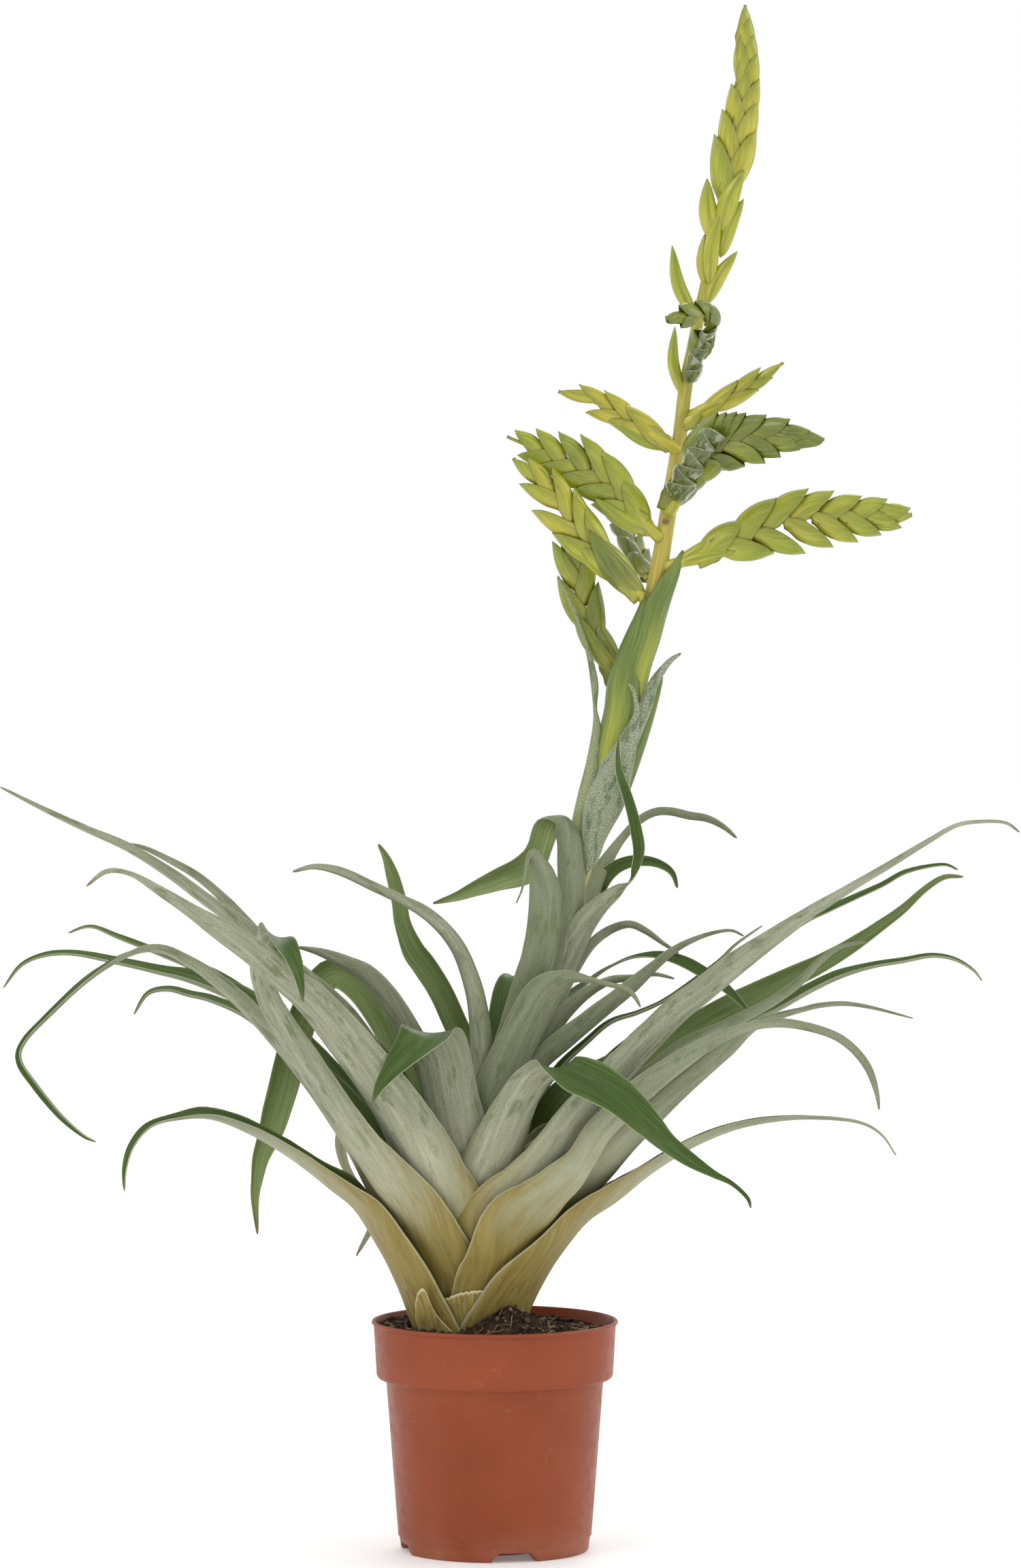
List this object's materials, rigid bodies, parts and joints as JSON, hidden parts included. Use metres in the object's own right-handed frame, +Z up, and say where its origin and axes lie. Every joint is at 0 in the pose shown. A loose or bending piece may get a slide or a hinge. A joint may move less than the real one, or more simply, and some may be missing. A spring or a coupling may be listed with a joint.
{
  "type": "potted tillandsia",
  "caption": "Flowering air plant in a plain nursery pot: a rosette of arching leaves, a stalk with sheath leaves and flat flower spikes.",
  "frame": {"origin": "centre of the pot's foot, on the surface that the pot stands on", "axes": "+Z up, -Y towards a person who faces the plant, +X to their right"},
  "size_m": [0.5005, 0.3209, 0.758],
  "materials": {
    "pot": "satin terracotta-coloured plastic",
    "soil": "dark crumbly peat and bark",
    "stem": "smooth yellow-olive stalk",
    "leaf": "grey-green leaf with a fine scurf",
    "bract": "silvery green sheath leaf",
    "spike": "glossy yellow-green bracts"
  },
  "bodies": {
    "root": {"pot": "pot", "soil": "soil", "leaf_left_low": "leaf", "leaf_right_low": "leaf", "leaf_right_front": "leaf", "leaf_front": "leaf", "leaf_front_left": "leaf", "leaf_left_front": "leaf", "leaf_fold_left": "leaf", "leaf_right_big": "leaf", "leaf_centre_right": "leaf", "leaf_centre_arch": "leaf", "leaf_tall_centre": "leaf", "leaf_left_high": "leaf", "leaf_left_green": "leaf", "leaf_left_hook": "leaf", "leaf_left_mid": "leaf", "leaf_left_thin": "leaf", "leaf_left_short": "leaf", "leaf_left_loop": "leaf", "leaf_left_inner": "leaf", "leaf_centre_twist": "leaf", "leaf_centre_back": "leaf", "leaf_stalk_fold": "leaf", "leaf_stalk_curl": "leaf", "leaf_arch_thin": "leaf", "leaf_arch_twist": "leaf", "leaf_dark_short": "leaf", "leaf_long_thin": "leaf", "leaf_right_grey": "leaf", "leaf_right_centre": "leaf", "leaf_grey_centre": "leaf", "leaf_right_under": "leaf", "leaf_right_green": "leaf", "leaf_right_dark": "leaf", "leaf_right_thread": "leaf", "leaf_right_back": "leaf", "leaf_back_droop": "leaf", "leaf_back_bulge": "leaf", "leaf_back_centre": "leaf", "leaf_back_right": "leaf", "leaf_back_tall": "leaf", "leaf_back_inner": "leaf", "stem": "stem", "bract_silvery": "bract", "bract_green_left": "bract", "bract_green_right": "bract", "bract_grey_tip": "bract", "bract_green_back": "bract", "bract_narrow_left": "bract", "spike_right": "spike", "spike_left_front": "spike", "spike_left_upper": "spike", "spike_upright_left": "spike", "spike_high_left": "spike", "spike_high_right": "spike", "spike_front_right": "spike", "spike_front_high": "spike", "spike_back_left": "spike", "spike_top": "spike"}
  },
  "joints": []
}
